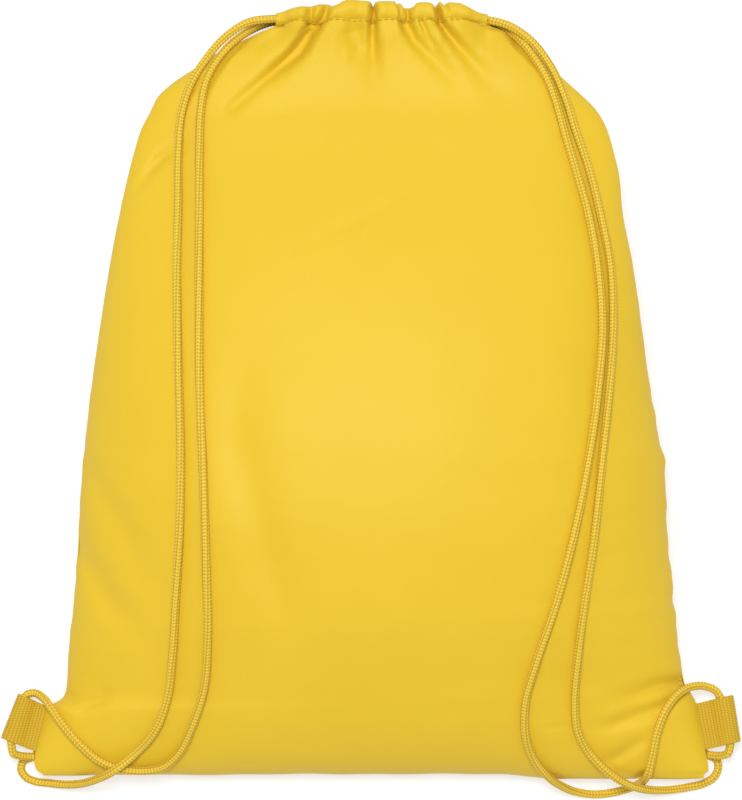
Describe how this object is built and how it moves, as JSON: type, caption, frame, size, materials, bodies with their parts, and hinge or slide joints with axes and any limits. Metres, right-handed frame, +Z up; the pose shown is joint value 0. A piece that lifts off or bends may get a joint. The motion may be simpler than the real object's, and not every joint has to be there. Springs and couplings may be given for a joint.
{
  "type": "drawstring backpack",
  "caption": "Flat-lying cloth drawstring backpack, softly filled, with a gathered mouth and cord shoulder straps tied at corner webbing loops.",
  "frame": {"origin": "middle of the bag's outline, on the surface that its front panel lies on", "axes": "+X across the bag, +Y from the bottom seam to the mouth, +Z up through the bag's thickness"},
  "size_m": [0.361, 0.3894, 0.089],
  "materials": {
    "cloth": "satin woven polyester",
    "cord": "matt knitted polyester cord",
    "webbing": "matt ribbed webbing",
    "thread": "matt sewing thread"
  },
  "bodies": {
    "bag": {"back_panel": "cloth", "front_panel": "cloth", "back_hem_tunnel": "cloth", "front_hem_tunnel": "cloth", "back_hem_stitching": "thread", "front_hem_stitching": "thread", "bottom_seam": "thread", "left_side_seam": "thread", "left_mouth_bartack": "thread", "left_loop_anchor": "webbing", "left_cord": "cord", "left_cord_tail": "cord", "left_knot": "cord", "right_side_seam": "thread", "right_mouth_bartack": "thread", "right_loop_anchor": "webbing", "right_cord": "cord", "right_cord_tail": "cord", "right_knot": "cord"},
    "left_loop": {"left_webbing_loop": "webbing", "left_cord_in_loop": "cord"},
    "right_loop": {"right_webbing_loop": "webbing", "right_cord_in_loop": "cord"}
  },
  "joints": [
    {"name": "left_loop_fold", "type": "hinge", "parent": "bag", "child": "left_loop", "pos_m": [-0.1636, -0.1654, 0.015], "axis": [0.2419, 0.9703, 0], "range_deg": [-40, 72]},
    {"name": "right_loop_fold", "type": "hinge", "parent": "bag", "child": "right_loop", "pos_m": [0.1634, -0.1646, 0.015], "axis": [0.1908, -0.9816, 0], "range_deg": [-40, 72]}
  ]
}
